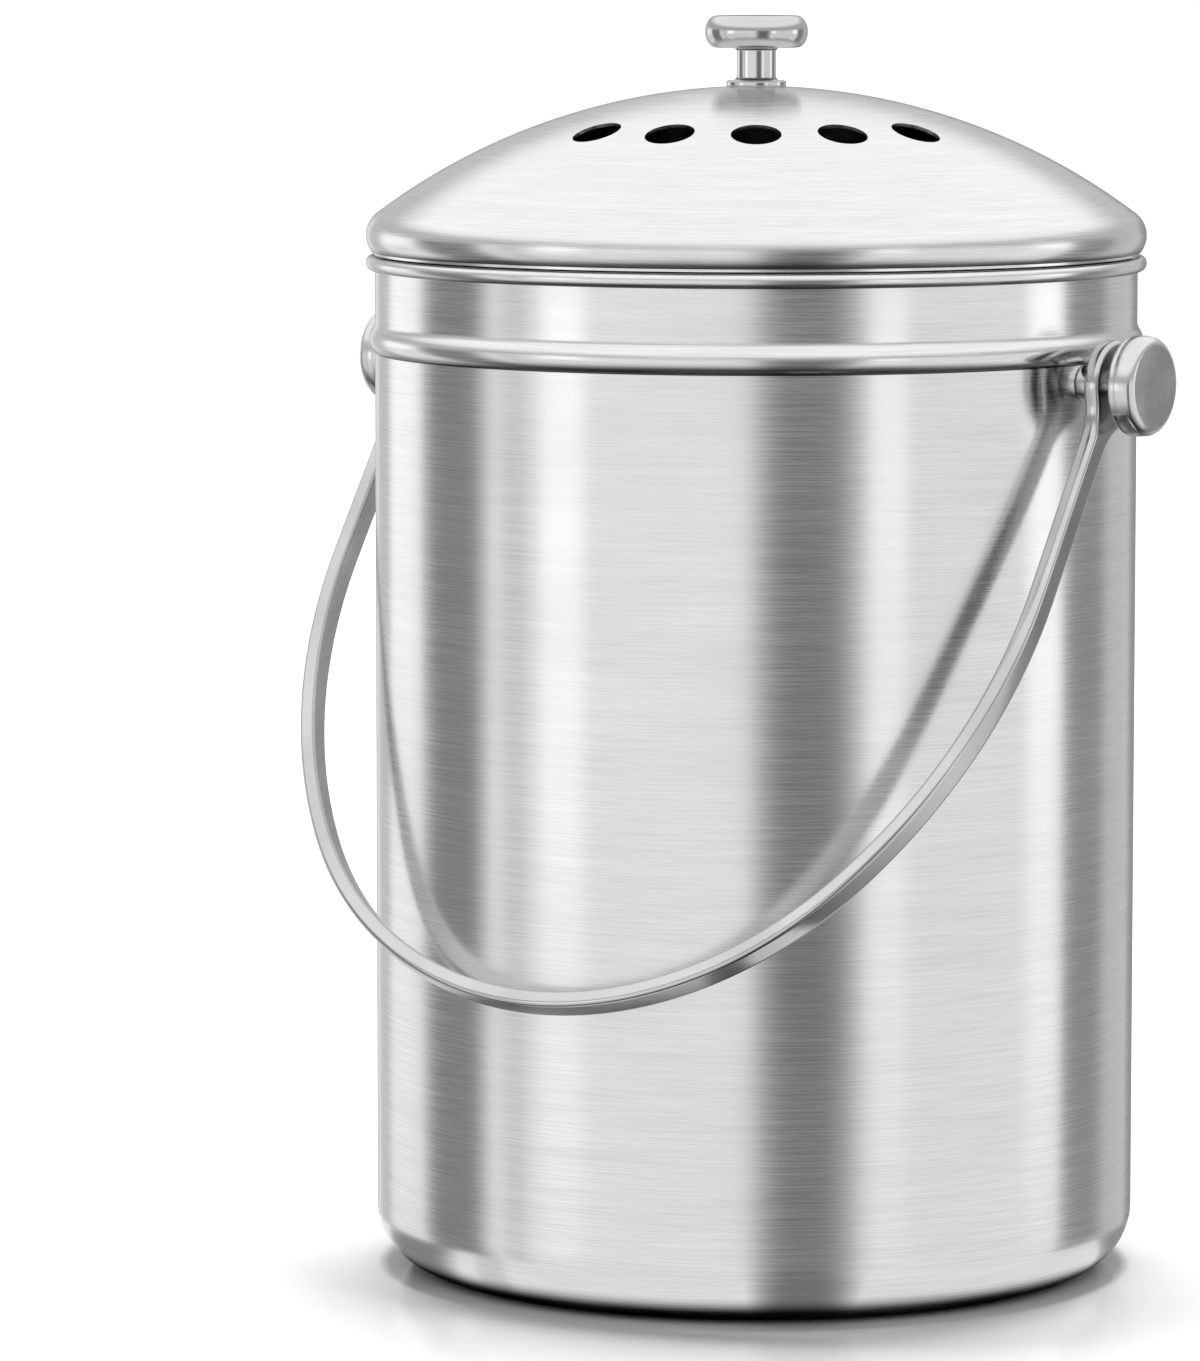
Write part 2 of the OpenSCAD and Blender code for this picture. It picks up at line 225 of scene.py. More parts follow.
def makeRoundGrain():
    # brushing that runs round the Z axis; Radial Share 1 or -1 keeps the lines fine where the sheet
    # curves over
    tree, given, out = newGroup(
        "roundGrain",
        [("Vector", "NodeSocketVector", None), ("Radial Share", "NodeSocketFloat", 1.0),
         ("Line Length", "NodeSocketFloat", 0.008), ("Line Width", "NodeSocketFloat", 0.0003)],
        [("Line", "NodeSocketFloat"), ("Patch", "NodeSocketFloat"), ("Height", "NodeSocketFloat")])
    x, y, z = splitVector(tree, given.outputs["Vector"])
    square = mathNode(tree, "ADD", mathNode(tree, "MULTIPLY", x, x), mathNode(tree, "MULTIPLY", y, y))
    radius = mathNode(tree, "SQRT", square)
    along = mathNode(tree, "MULTIPLY_ADD", radius, given.outputs["Radial Share"], z)
    length, width = given.outputs["Line Length"], given.outputs["Line Width"]

    def streaks(lengths, widths, detail, roughness=0.5):
        # noise drawn out to this many line lengths and line widths
        lineLong = mathNode(tree, "MULTIPLY", length, lengths)
        lineWide = mathNode(tree, "MULTIPLY", width, widths)
        joined = addNode(tree, "ShaderNodeCombineXYZ")
        for i, (value, size) in enumerate(((x, lineLong), (y, lineLong), (along, lineWide))):
            tree.links.new(mathNode(tree, "DIVIDE", value, size), joined.inputs[i])
        return noiseNode(tree, joined.outputs[0], 1.0, detail, roughness)

    fine = streaks(1.0, 1.0, 2.0, 0.6)
    longer = streaks(4.0, 2.6, 1.0)
    wide = streaks(3.0, 14.0, 1.0)
    tree.links.new(rangeNode(tree, fine, 0.32, 0.68), out.inputs["Line"])
    tree.links.new(rangeNode(tree, wide, 0.3, 0.7), out.inputs["Patch"])
    tree.links.new(mathNode(tree, "MULTIPLY_ADD", longer, 0.6, fine), out.inputs["Height"])
    return tree


def makeHandling():
    # faint unevenness of a real sheet: slow waves in the gloss and a trace of wiping
    tree, given, out = newGroup(
        "handling",
        [("Vector", "NodeSocketVector", None), ("Size", "NodeSocketFloat", 0.03)],
        [("Wave", "NodeSocketFloat"), ("Wipe", "NodeSocketFloat")])
    scaled = vectorNode(tree, "SCALE", given.outputs["Vector"])
    tree.links.new(mathNode(tree, "DIVIDE", 1.0, given.outputs["Size"]), scaled.inputs["Scale"])
    wave = noiseNode(tree, scaled.outputs[0], 1.0, 2.0, 0.4)
    wipe = noiseNode(tree, scaled.outputs[0], 7.0, 4.0, 0.7)
    tree.links.new(rangeNode(tree, wave, 0.3, 0.7), out.inputs["Wave"])
    tree.links.new(rangeNode(tree, wipe, 0.45, 0.75), out.inputs["Wipe"])
    return tree


def makePaintedFoldShade():
    # painted shade in a fold, darkening the tint where the crease lies in shadow: full at Foot and gone at
    # Reach above it
    tree, given, out = newGroup(
        "paintedFoldShade",
        [("Vector", "NodeSocketVector", None), ("Foot", "NodeSocketFloat", 0.0),
         ("Reach", "NodeSocketFloat", 0.001)],
        [("Shade", "NodeSocketFloat")])
    height = splitVector(tree, given.outputs["Vector"])[2]
    rise = mathNode(tree, "SUBTRACT", height, given.outputs["Foot"])
    left = mathNode(tree, "SUBTRACT", 1.0, mathNode(tree, "DIVIDE", rise, given.outputs["Reach"]))
    above = mathNode(tree, "GREATER_THAN", rise, -0.00003)
    tree.links.new(rangeNode(tree, mathNode(tree, "MULTIPLY", left, above), 0.0, 1.0), out.inputs["Shade"])
    return tree


roundGrain = makeRoundGrain()
paintedFoldShade = makePaintedFoldShade()
handling = makeHandling()


def newMaterial(name, **values):
    material = bpy.data.materials.new(name)
    material.use_nodes = True
    tree = material.node_tree
    shader = tree.nodes["Principled BSDF"]
    for label, value in values.items():
        shader.inputs[label.replace("_", " ")].default_value = value
    coords = tree.nodes.new("ShaderNodeTexCoord")
    return material, tree, shader, coords.outputs["Object"]


def useGroup(tree, group, vector, **values):
    node = addNode(tree, "ShaderNodeGroup", node_tree=group)
    tree.links.new(vector, node.inputs["Vector"])
    for label, value in values.items():
        node.inputs[label.replace("_", " ")].default_value = value
    return node.outputs


def mixTint(tree, factor, dark, light):
    node = addNode(tree, "ShaderNodeMix", data_type="RGBA")
    tree.links.new(factor, node.inputs[0])
    # the node's colour sockets come after its number and vector ones
    node.inputs[6].default_value = (*dark, 1)
    node.inputs[7].default_value = (*light, 1)
    return node.outputs[2]


def addBump(tree, shader, height, strength, distance):
    bump = addNode(tree, "ShaderNodeBump", Strength=strength, Distance=distance)
    tree.links.new(height, bump.inputs["Height"])
    tree.links.new(bump.outputs[0], shader.inputs["Normal"])


# painted shade: how much of the tint the shade takes at a fold's foot
paintedFoldDepth = 0.93  # the share of the tint that is lost at a fold's foot


def paintFoldShades(tree, coords, tint, shadedFolds):
    # paints shade into the tint at each fold; each fold is its foot's height and how far up its painted
    # shade reaches, in mm
    for foot, reach in shadedFolds:
        fold = useGroup(tree, paintedFoldShade, coords, Foot=foot * mm, Reach=reach * mm)
        kept = vectorNode(tree, "SCALE", tint)
        tree.links.new(mathNode(tree, "MULTIPLY_ADD", fold["Shade"], -paintedFoldDepth, 1.0), kept.inputs["Scale"])
        tint = kept.outputs[0]
    return tint


def addShares(tree, first, share, second):
    # the first at its share and the second at the rest
    return mathNode(tree, "MULTIPLY_ADD", first, share, mathNode(tree, "MULTIPLY", second, 1 - share))


brushing = dict(lineWidth=0.00024, bump=0.10, depth=0.00005)


def brushedSteel(name, dark, light, rough, share, lineLength, stretch, shadedFolds=()):
    # rough is (smoothest, roughest); stretch spreads highlights across the brushing
    material, tree, shader, coords = newMaterial(name, Metallic=1.0, Anisotropic=stretch,
                                                 Anisotropic_Rotation=0.25)
    grain = useGroup(tree, roundGrain, coords, Radial_Share=share, Line_Length=lineLength,
                     Line_Width=brushing["lineWidth"])
    worn = useGroup(tree, handling, coords, Size=0.045)
    shade = addShares(tree, grain["Patch"], 0.2, grain["Line"])
    tint = paintFoldShades(tree, coords, mixTint(tree, shade, dark, light), shadedFolds)
    tree.links.new(tint, shader.inputs["Base Color"])
    uneven = addShares(tree, worn["Wave"], 0.4, grain["Line"])
    tree.links.new(rangeNode(tree, uneven, 0.0, 1.0, *rough), shader.inputs["Roughness"])
    addBump(tree, shader, grain["Height"], brushing["bump"], brushing["depth"])
    return material


def polishedSteel(name, dark, light, rough, waveSize, bump, shadedFolds=()):
    material, tree, shader, coords = newMaterial(name, Metallic=1.0)
    worn = useGroup(tree, handling, coords, Size=waveSize)
    tint = paintFoldShades(tree, coords, mixTint(tree, worn["Wave"], dark, light), shadedFolds)
    tree.links.new(tint, shader.inputs["Base Color"])
    uneven = addShares(tree, worn["Wipe"], 0.6, worn["Wave"])
    tree.links.new(rangeNode(tree, uneven, 0.0, 1.0, *rough), shader.inputs["Roughness"])
    addBump(tree, shader, worn["Wave"], bump, 0.0001)
    return material


# Finishes

def grey(value, blue=0.005):
    # nearly neutral, a touch to the blue
    return value, value, value + blue


# the last entries are folds with painted shade: below the swaged bead and under the rolled rim
shellSteel = brushedSteel("shellSteel", grey(0.67), grey(0.81), (0.16, 0.25), 1.0, 0.020, 0.75,
                          ((205.45, 1.9), (223.85, 1.3)))
# painted shade along the lip's lower edge, where the lid sits on the rim
lidSteel = brushedSteel("lidSteel", grey(0.67), grey(0.81), (0.16, 0.26), -1.0, 0.014, 0.70,
                        ((228.0, 1.5),))
panSteel = brushedSteel("panSteel", grey(0.68), grey(0.81), (0.17, 0.28), 1.0, 0.016, 0.70)
bailSteel = polishedSteel("bailSteel", grey(0.50), grey(0.60), (0.10, 0.20), 0.02, 0.05)
# painted shade in the grooves at both ends of the stem
knobChrome = polishedSteel("knobChrome", grey(0.54), grey(0.61), (0.04, 0.09), 0.015, 0.03,
                           ((266.05, 0.7), (272.6, 0.55)))
bushSteel = polishedSteel("bushSteel", grey(0.66, 0.01), grey(0.74, 0.01), (0.14, 0.24), 0.006, 0.05)
buttonSteel = polishedSteel("buttonSteel", grey(0.62, 0.01), grey(0.70, 0.01), (0.18, 0.26), 0.008, 0.04)
screwSteel = polishedSteel("screwSteel", grey(0.56, 0.01), grey(0.66, 0.01), (0.22, 0.34), 0.004, 0.06)


def makeRubber():
    material, tree, shader, coords = newMaterial("sealRubber")
    worn = useGroup(tree, handling, coords, Size=0.004)
    tint = mixTint(tree, worn["Wave"], grey(0.018, 0.0), grey(0.035, 0.001))
    tree.links.new(tint, shader.inputs["Base Color"])
    tree.links.new(rangeNode(tree, worn["Wipe"], 0.0, 1.0, 0.55, 0.75), shader.inputs["Roughness"])
    addBump(tree, shader, worn["Wipe"], 0.3, 0.0001)
    return material


def makeFelt():
    # needled charcoal felt: matted fibres with grey specks
    material, tree, shader, coords = newMaterial("charcoalFelt")
    fibres = noiseNode(tree, coords, 900.0, 5.0, 0.75)
    clumps = noiseNode(tree, coords, 160.0, 3.0, 0.6)
    specks = rangeNode(tree, noiseNode(tree, coords, 2100.0, 2.0, 0.6), 0.60, 0.74)
    mixed = addShares(tree, clumps, 0.5, fibres)
    tone = mathNode(tree, "MULTIPLY_ADD", specks, 0.35, rangeNode(tree, mixed, 0.35, 0.65, 0.0, 0.65))
    tint = mixTint(tree, tone, (0.016, 0.016, 0.017), (0.085, 0.086, 0.088))
    tree.links.new(tint, shader.inputs["Base Color"])
    tree.links.new(rangeNode(tree, fibres, 0.3, 0.7, 0.85, 1.0), shader.inputs["Roughness"])
    addBump(tree, shader, mixed, 0.7, 0.0005)
    return material


sealRubber = makeRubber()
charcoalFelt = makeFelt()
print("finishes made")


# Body shell: base, wall, swaged bead and rolled rim drawn as one sheet

shell = dict(wallR=85.0, sheet=0.8, cornerR=14.0, flatR=30, ringR=54.0, ringWide=7.0, ringRise=1.2,
             swageZ=208.6, swageOut=1.3, swageR=3.6, blendTop=3.0, blendBottom=0.8,
             rimZ=225.5, rollWide=0.6, rollHigh=0.8, rollEnd=100.0, pivotZ=201.4, screwHoleR=2.15,
             holePatch=3.4, rows=8, rowStep=20.0, holeRows=5, holeRowStep=2.2)


def blendTurn(blendR):
    # how far a fillet of this radius turns before it meets the bead's crown
    reach = shell["swageR"] + blendR
    return math.degrees(math.acos((reach - shell["swageOut"]) / reach))


def makeShell():
    s = shell
    bm = bmesh.new()
    pen = startLine(bm, 0, 0)
    inner, outer = s["ringR"] - s["ringWide"] / 2, s["ringR"] + s["ringWide"] / 2
    slope = s["ringRise"] * 1.4
    foot, rise = 0.12, s["ringRise"]
    for r, z in ((s["flatR"], 0), (inner, 0), (inner + slope / 3, foot), (inner + slope, rise),
                 (outer - slope, rise), (outer - slope / 3, foot), (outer, 0),
                 (s["wallR"] - s["cornerR"], 0)):
        pen = lineTo(bm, pen, r, z)
    pen = arcTo(bm, pen, s["wallR"] - s["cornerR"], s["cornerR"], 90, 20)
    for i in range(s["rows"], 0, -1):
        pen = lineTo(bm, pen, s["wallR"], s["pivotZ"] - s["rowStep"] * i)
    for i in range(s["holeRows"]):  # closer rows round the screw holes
        pen = lineTo(bm, pen, s["wallR"], s["pivotZ"] + s["holeRowStep"] * (i - s["holeRows"] / 2))
    low, high = blendTurn(s["blendBottom"]), blendTurn(s["blendTop"])
    lowRise = (s["swageR"] + s["blendBottom"]) * math.sin(math.radians(low))
    highRise = (s["swageR"] + s["blendTop"]) * math.sin(math.radians(high))
    pen = lineTo(bm, pen, s["wallR"], s["swageZ"] - lowRise)
    pen = arcTo(bm, pen, s["wallR"] + s["blendBottom"], s["swageZ"] - lowRise, -low, 5)
    pen = arcTo(bm, pen, s["wallR"] + s["swageOut"] - s["swageR"], s["swageZ"], low + high, 20)
    pen = arcTo(bm, pen, s["wallR"] + s["blendTop"], s["swageZ"] + highRise, -high, 8)
    pen = lineTo(bm, pen, s["wallR"], s["rimZ"])
    squeeze = s["rollWide"] / s["rollHigh"]
    arcTo(bm, pen, s["wallR"] + s["rollWide"], s["rimZ"], -180 - s["rollEnd"], 28, squeeze)
    spinRound(bm)
    for side in (-1, 1):
        centre = Vector((side * s["wallR"] * mm, 0, s["pivotZ"] * mm))
        punchHole(bm, centre, (side, 0, 0), s["screwHoleR"] * mm, s["holePatch"] * mm)
    thicken(bm, s["sheet"])
    finishPiece(bm, "drawnShell", "caddy", shellSteel, ["body_shell"])


makeShell()
print("body made")


# Lid: dome with rounded lip and vent holes, and the drawn pan below it

lid = dict(ballR=141.02, topZ=264.4, flatR=7.5, screwHoleR=2.15, lipR=6.0, outerR=86.95, hem=1.6, sheet=0.7,
           ventR=5.5, ventCircle=50.0, ventStep=22.0, turn=33.0,
           ventPatches=(6.6, 6.6, 7.2, 6.6, 6.6))  # half sides of the squares the holes are worked into
pan = dict(flangeZ=227.4, flangeR=85.25, sheet=0.6, collarR=80.0, depth=20.8, rootR=1.4, edgeR=1.6,
           windowR=54.7, windowRise=3.6, windowEdge=1.2)
ballZ = lid["topZ"] - math.sqrt(lid["ballR"] ** 2 - lid["flatR"] ** 2)


def makeDome():
    d = lid
    lipX = d["outerR"] - d["lipR"]
    lipZ = ballZ + math.sqrt((d["ballR"] - d["lipR"]) ** 2 - lipX ** 2)
    lipStart = math.degrees(math.atan2(lipZ - ballZ, lipX))
    hemZ = pan["flangeZ"] + pan["sheet"]
    lipEnd = -math.degrees(math.asin((lipZ - hemZ) / d["lipR"]))
    flatTurn = math.degrees(math.acos(d["flatR"] / d["ballR"]))
    bm = bmesh.new()
    pen = startLine(bm, d["screwHoleR"], d["topZ"])
    pen = lineTo(bm, pen, d["flatR"], d["topZ"])
    pen = arcTo(bm, pen, 0, ballZ, lipStart - flatTurn, 56)
    pen = arcTo(bm, pen, lipX, lipZ, lipEnd - lipStart, 18)
    lineTo(bm, pen, pen.co.x / mm - d["hem"], hemZ)
    spinRound(bm)
    tilt = math.asin(d["ventCircle"] / d["ballR"])
    reach = math.sqrt(d["ballR"] ** 2 - d["ventR"] ** 2)
    middle = (len(d["ventPatches"]) - 1) / 2
    for i, patch in enumerate(d["ventPatches"]):
        turn = math.radians(d["turn"] - 90 + d["ventStep"] * (i - middle))
        axis = Vector((math.sin(tilt) * math.cos(turn), math.sin(tilt) * math.sin(turn), math.cos(tilt)))
        centre = Vector((0, 0, ballZ * mm)) + axis * reach * mm
        punchHole(bm, centre, axis, d["ventR"] * mm, patch * mm)
    thicken(bm, d["sheet"], topSide=True)
    finishPiece(bm, "ventedDome", "lid", lidSteel, ["lid_dome"])


def makePan():
    p = pan
    faceZ = p["flangeZ"] - p["depth"]
    bm = bmesh.new()
    pen = startLine(bm, p["flangeR"], p["flangeZ"])
    pen = lineTo(bm, pen, p["collarR"] + p["rootR"], p["flangeZ"])
    pen = arcTo(bm, pen, p["collarR"] + p["rootR"], p["flangeZ"] - p["rootR"], 90, 8)
    pen = lineTo(bm, pen, p["collarR"], faceZ + p["edgeR"])
    pen = arcTo(bm, pen, p["collarR"] - p["edgeR"], faceZ + p["edgeR"], -90, 8)
    pen = lineTo(bm, pen, p["windowR"] + p["windowEdge"], faceZ)
    pen = arcTo(bm, pen, p["windowR"] + p["windowEdge"], faceZ + p["windowEdge"], -90, 8)
    lineTo(bm, pen, p["windowR"], faceZ + p["windowRise"])
    spinRound(bm)
    thicken(bm, p["sheet"])
    finishPiece(bm, "filterPan", "lid", panSteel, ["lid_pan"])


felt = dict(radius=78.0, thick=8.0, edge=2.0, rings=38, steps=160, lumps=0.25, sunk=0.15, swing=0.5,
            coarse=90, fine=420)


def makeFilter():
    low = pan["flangeZ"] - pan["depth"] + pan["windowRise"]
    high = low + felt["thick"]
    flatR = felt["radius"] - felt["edge"]
    bm = bmesh.new()
    pen = startLine(bm, 0, low)
    for i in range(1, felt["rings"] + 1):
        pen = lineTo(bm, pen, flatR * i / felt["rings"], low)
    pen = arcTo(bm, pen, flatR, low + felt["edge"], 90, 5)
    pen = lineTo(bm, pen, felt["radius"], high - felt["edge"])
    pen = arcTo(bm, pen, flatR, high - felt["edge"], 90, 5)
    for i in range(felt["rings"] - 1, -1, -1):
        pen = lineTo(bm, pen, flatR * i / felt["rings"], high)
    spinRound(bm, felt["steps"])
    # both faces are slightly uneven and, taken together, a little sunk
    middle = (low + high) / 2 * mm
    for v in bm.verts:
        lump = noise.noise(v.co * felt["coarse"]) * 0.5 + noise.noise(v.co * felt["fine"]) * 0.5
        inward = (middle - v.co.z) / (felt["thick"] * mm)
        v.co.z += inward * (felt["sunk"] + felt["swing"] * lump) * felt["lumps"] * mm
    piece = finishPiece(bm, "feltDisc", "lid", charcoalFelt, ["charcoal_filter"],
                        sharp=60)


makeDome()
makePan()
makeFilter()
print("lid made")


# Lid knob on its base plate

knob = dict(headR=11.45, headH=7.1, edge=2.5, stemR=4.35, stemH=7.3, flare=1.1, flareTurn=65,
            grooveDeep=0.12, grooveAt=(0.3, 0.4), baseR=6.65, baseH=1.4, plateEase=0.15, plateEdge=0.35)


def makeKnob():
    k = knob
    stemZ = lid["topZ"] + k["baseH"]
    headZ = stemZ + k["stemH"]
    lean = math.radians(k["flareTurn"])
    near, far = k["grooveAt"]
    bm = bmesh.new()
    pen = startLine(bm, 0, stemZ)
    pen = lineTo(bm, pen, k["stemR"] + k["flare"], stemZ)
    pen = arcTo(bm, pen, k["stemR"] + k["flare"], stemZ + k["flare"], -k["flareTurn"], 7)
    # a narrow groove parts the stem from its collar at each end
    for r, z in ((k["grooveDeep"], stemZ + near), (0, stemZ + far),
                 (0, headZ - far), (k["grooveDeep"], headZ - near)):
        pen = lineTo(bm, pen, k["stemR"] + r, z)
    topR = k["stemR"] + k["flare"] * (1 - math.sin(lean))
    pen = lineTo(bm, pen, topR, headZ - k["flare"] * (1 - math.cos(lean)))
    pen = arcTo(bm, pen, k["stemR"] + k["flare"], headZ - k["flare"], -k["flareTurn"], 7)
    pen = lineTo(bm, pen, k["headR"] - k["edge"], headZ)
    middle = headZ + k["headH"] / 2
    pen = arcTo(bm, pen, k["headR"] - k["edge"], middle, 180, 28, k["edge"] * 2 / k["headH"])
    lineTo(bm, pen, 0, headZ + k["headH"])
    spinRound(bm, smallSteps)
    finishPiece(bm, "turnedKnob", "lid", knobChrome, ["lid_knob"], sharp=50)


def makeKnobPlate():
    k = knob
    low, high = lid["topZ"], lid["topZ"] + k["baseH"]
    bm = bmesh.new()
    pen = startLine(bm, 0, low)
    pen = lineTo(bm, pen, k["baseR"] - k["plateEase"], low)
    pen = arcTo(bm, pen, k["baseR"] - k["plateEase"], low + k["plateEase"], 90, 3)
    pen = lineTo(bm, pen, k["baseR"], high - k["plateEdge"])
    pen = arcTo(bm, pen, k["baseR"] - k["plateEdge"], high - k["plateEdge"], 90, 5)
    lineTo(bm, pen, 0, high)
    spinRound(bm, smallSteps)
    finishPiece(bm, "knobPlate", "lid", knobChrome, ["knob_base"], sharp=50)


makeKnob()
makeKnobPlate()
print("knob made")


# Pivots: bush and button on each side

pivot = dict(standoff=4.8, bushR=4.0, journalR=3.0, bushEase=0.25, buttonX=96.7, buttonR=10.95, backR=9.8,
             faceR=8.65, buttonH=6.1, bulge=0.14, bushSteps=96)


def makeButton(side, word):
    p = pivot
    bevel = p["buttonR"] - p["faceR"]
    back = p["buttonR"] - p["backR"]
    bm = bmesh.new()
    pen = startLine(bm, 0, 0)
    pen = lineTo(bm, pen, p["backR"], 0)
    pen = arcTo(bm, pen, p["backR"], back, 90, 8)
    pen.co.x -= p["bulge"] * mm
    # the side bulges a little between the two roundings
    straight = p["buttonH"] - bevel - back
    for share, bulge in ((0.25, 0.1), (0.5, p["bulge"]), (0.75, 0.1)):
        pen = lineTo(bm, pen, p["buttonR"] - p["bulge"] + bulge, back + straight * share)
    pen = lineTo(bm, pen, p["buttonR"] - p["bulge"], p["buttonH"] - bevel)
    pen = arcTo(bm, pen, p["faceR"], p["buttonH"] - bevel, 90, 12)
    lineTo(bm, pen, 0, p["buttonH"])
    spinRound(bm, smallSteps)
    layAlongX(bm, p["buttonX"], shell["pivotZ"], side)
    finishPiece(bm, word + "Button", "caddy", buttonSteel, [word + "_pivot_knob"],
                sharp=50)


def makeBush(side, word):
    p = pivot
    end = p["buttonX"] - shell["wallR"]
    ease = p["bushEase"]
    bm = bmesh.new()
    pen = startLine(bm, shell["screwHoleR"], 0)
    pen = lineTo(bm, pen, p["bushR"] - ease, 0)
    pen = arcTo(bm, pen, p["bushR"] - ease, ease, 90, 3)
    pen = lineTo(bm, pen, p["bushR"], p["standoff"] - ease)
    pen = arcTo(bm, pen, p["bushR"] - ease, p["standoff"] - ease, 90, 3)
    pen = lineTo(bm, pen, p["journalR"], p["standoff"])
    pen = lineTo(bm, pen, p["journalR"], end)
    pen = lineTo(bm, pen, shell["screwHoleR"], end)
    spinRound(bm, p["bushSteps"])
    bmesh.ops.bridge_loops(bm, edges=[e for e in bm.edges if e.is_boundary])
    layAlongX(bm, shell["wallR"], shell["pivotZ"], side)
    finishPiece(bm, word + "Bush", "caddy", bushSteel, [word + "_pivot_bush"],
                sharp=40)


for side, word in ((-1, "left"), (1, "right")):
    makeButton(side, word)
    makeBush(side, word)


# Bail: half of it is drawn from the eye down to the middle of the bow, then mirrored

bail = dict(armX=92.0, barT=3.8, barW=6.0, cornerR=1.2, drop=158.6, bowR=85.0, restGap=0.4,
            eyeR=9.7, boreR=3.05, boreEdge=0.3, neckR=12.0, eyeSteps=64, boreSteps=48, squareTurn=1.2)


def makeBail():
    b = bail
    # the centres of side arc and bow are 4 and 3 steps apart, so 5 along their line: the arcs are tangent
    step = b["armX"] - b["bowR"]
    sideR = b["bowR"] + 5 * step
    sideTurn = math.degrees(math.atan2(3, 4))
    armDrop = b["drop"] - b["bowR"] - 3 * step
    hollowY = b["barW"] / 2 + b["neckR"]
    neckDrop = math.sqrt((b["eyeR"] + b["neckR"]) ** 2 - hollowY ** 2)
    hollowTurn = math.degrees(math.atan2(neckDrop, hollowY))

    # flat outline of eye and neck, drawn in the line tools' plane and then stood up
    bm = bmesh.new()
    pen = first = startLine(bm, b["barW"] / 2, -neckDrop)
    pen = arcTo(bm, pen, hollowY, -neckDrop, -hollowTurn, 12)
    pen = arcTo(bm, pen, 0, 0, 180 + 2 * hollowTurn, b["eyeSteps"])
    pen = arcTo(bm, pen, -hollowY, -neckDrop, -hollowTurn, 12)
    bmesh.ops.contextual_create(bm, geom=[pen, first])
    stood = Matrix.Rotation(math.pi / 2, 4, "X")
    bmesh.ops.create_circle(bm, segments=b["boreSteps"], radius=b["boreR"] * mm, matrix=stood)
    bmesh.ops.triangle_fill(bm, use_beauty=True, edges=bm.edges[:])
    bmesh.ops.rotate(bm, cent=(0, 0, 0), matrix=Matrix.Rotation(math.pi / 2, 3, "Z"), verts=bm.verts[:])
    bmesh.ops.translate(bm, vec=((b["armX"] - b["barT"] / 2) * mm, 0, 0), verts=bm.verts[:])
    raised = bmesh.ops.extrude_face_region(bm, geom=bm.faces[:], use_keep_orig=True)["geom"]
    bmesh.ops.translate(bm, vec=(b["barT"] * mm, 0, 0), verts=pick(raised, bmesh.types.BMVert))
    bmesh.ops.recalc_face_normals(bm, faces=bm.faces[:])
    footZ = -neckDrop * mm
    foot = [f for f in bm.faces if all(abs(v.co.z - footZ) < 0.001 * mm for v in f.verts)]
    bmesh.ops.delete(bm, geom=foot, context="FACES")

    # the bar grows out of the neck's open end
    rim = [e for e in bm.edges if e.is_boundary]
    grown = bmesh.ops.extrude_edge_only(bm, edges=rim)["geom"]
    bmesh.ops.translate(bm, vec=(0, 0, (neckDrop - armDrop) * mm), verts=pick(grown, bmesh.types.BMVert))
    for centreX, centreZ, turn, steps in ((b["armX"] - sideR, -armDrop, sideTurn, 28),
                                          (0, b["bowR"] - b["drop"], 90 - sideTurn, 44)):
        rim = [e for e in pick(grown, bmesh.types.BMEdge) if e.is_boundary]
        corners = list({v for e in rim for v in e.verts})
        made = bmesh.ops.spin(bm, geom=rim + corners, cent=(centreX * mm, 0, centreZ * mm),
                              axis=(0, 1, 0), angle=math.radians(turn), steps=steps)
        grown = made["geom_last"]
    bmesh.ops.remove_doubles(bm, verts=bm.verts[:], dist=weld)
    bmesh.ops.mirror(bm, geom=bm.verts[:] + bm.edges[:] + bm.faces[:], axis="X", merge_dist=0.01 * mm)
    bmesh.ops.remove_doubles(bm, verts=bm.verts[:], dist=0.005 * mm)
    bmesh.ops.recalc_face_normals(bm, faces=bm.faces[:])

    def roundEdges(far, radius, segments):
        # the long edges of the bar with the rims of the eyes, or else the rims of the bores; a square
        # edge turns more than squareTurn, in radians, and a bend of the bar less
        corners = []
        pastBore = b["boreR"] * 1.2 * mm
        for e in bm.edges:
            if len(e.link_faces) == 2 and e.calc_face_angle() >= b["squareTurn"]:
                distance = max(math.hypot(v.co.y, v.co.z) for v in e.verts)
                if (distance > pastBore) == far:
                    corners.append(e)
        bmesh.ops.bevel(bm, geom=corners, offset=radius * mm, affect="EDGES", segments=segments,
                        profile=0.5, material=-1, clamp_overlap=True)

    roundEdges(True, b["cornerR"], 5)
    roundEdges(False, b["boreEdge"], 2)

    hang = math.asin((shell["wallR"] + b["barW"] / 2 + b["restGap"]) / b["drop"])
    bmesh.ops.rotate(bm, cent=(0, 0, 0), matrix=Matrix.Rotation(-hang, 3, "X"), verts=bm.verts[:])
    bmesh.ops.translate(bm, vec=(0, 0, shell["pivotZ"] * mm), verts=bm.verts[:])
    piece = finishPiece(bm, "bentBail", "bail", bailSteel, ["bail"], sharp=50)
    weighted = piece.modifiers.new("flatFaces", "WEIGHTED_NORMAL")
    weighted.keep_sharp = True  # shades the flats flat beside their rounded edges


makeBail()
print("bail and pivots made")


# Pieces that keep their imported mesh

for nodeName, material in (("left_pivot_screw", screwSteel), ("right_pivot_screw", screwSteel),
                           ("knob_screw", screwSteel), ("knob_washer", screwSteel),
                           ("left_seal_washer", sealRubber), ("right_seal_washer", sealRubber)):
    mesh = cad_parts[nodeName].data
    mesh.materials.clear()
    mesh.materials.append(material)


# Studio: pale floor, white tent with soft strips and dark flags, one soft lamp

